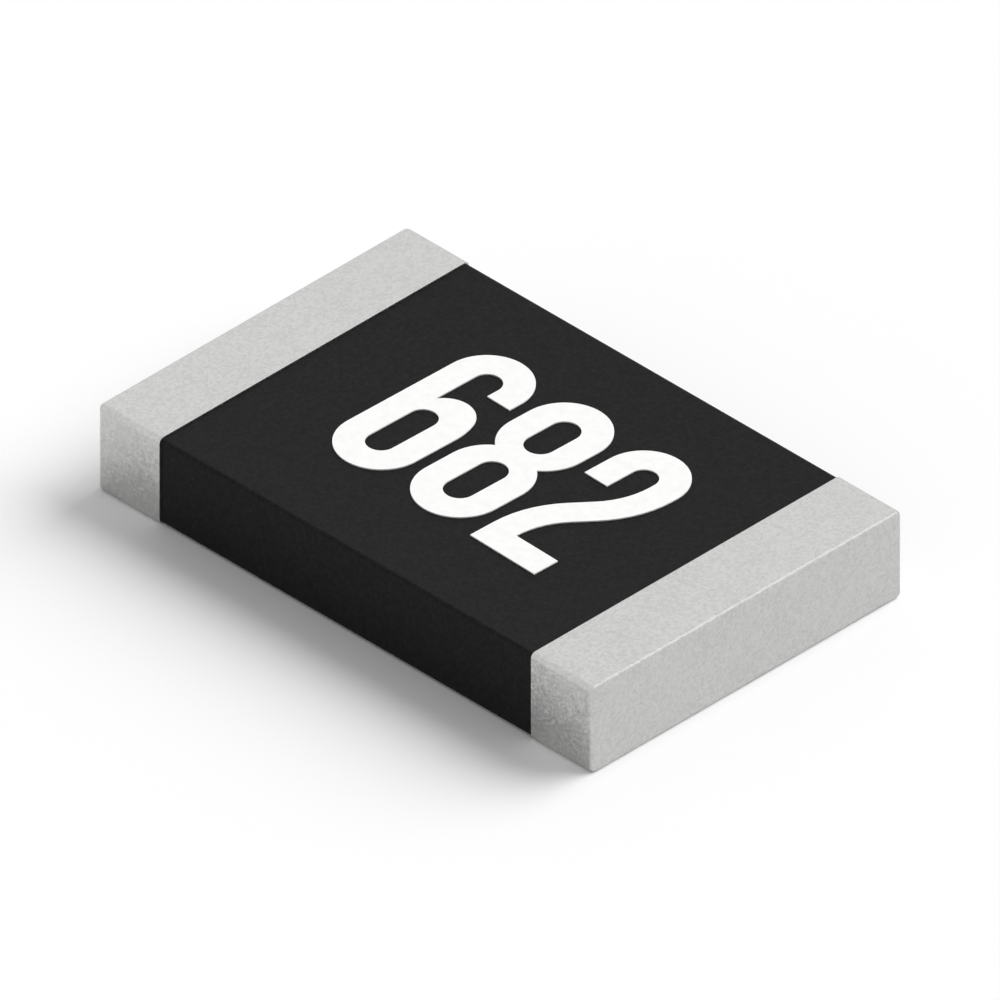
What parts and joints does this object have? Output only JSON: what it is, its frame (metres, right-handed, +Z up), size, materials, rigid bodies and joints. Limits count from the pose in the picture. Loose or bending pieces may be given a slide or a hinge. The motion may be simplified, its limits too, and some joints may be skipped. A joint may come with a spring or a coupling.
{
  "type": "smd chip resistor",
  "caption": "Flat rectangular surface-mount resistor: a ceramic plate with a laser-trimmed film under a black coat, and plated metal end caps that are soldered to a circuit board.",
  "frame": {"origin": "middle of the chip's underside, in the plane of the two solder pads", "axes": "+X along the chip towards the right terminal, in the reading direction of the value code; +Y across the chip; +Z up, out of the marked face"},
  "size_m": [0.002, 0.0012, 0.0003],
  "materials": {
    "alumina": "matte",
    "resistive_film": "satin",
    "undercoat_glass": "gloss",
    "black_epoxy": "satin",
    "printed_silver": "matte",
    "dipped_silver": "matte",
    "nickel": "satin",
    "matte_tin": "satin",
    "marking_ink": "matte"
  },
  "bodies": {
    "root": {"ceramic_substrate": "alumina", "resistive_film": "resistive_film", "glass_undercoat": "undercoat_glass", "black_coat": "black_epoxy", "face_electrode_left": "printed_silver", "face_electrode_right": "printed_silver", "back_electrode_left": "printed_silver", "back_electrode_right": "printed_silver", "end_electrode_left": "dipped_silver", "end_electrode_right": "dipped_silver", "nickel_barrier_left": "nickel", "nickel_barrier_right": "nickel", "tin_cap_left": "matte_tin", "tin_cap_right": "matte_tin"}
  },
  "joints": []
}
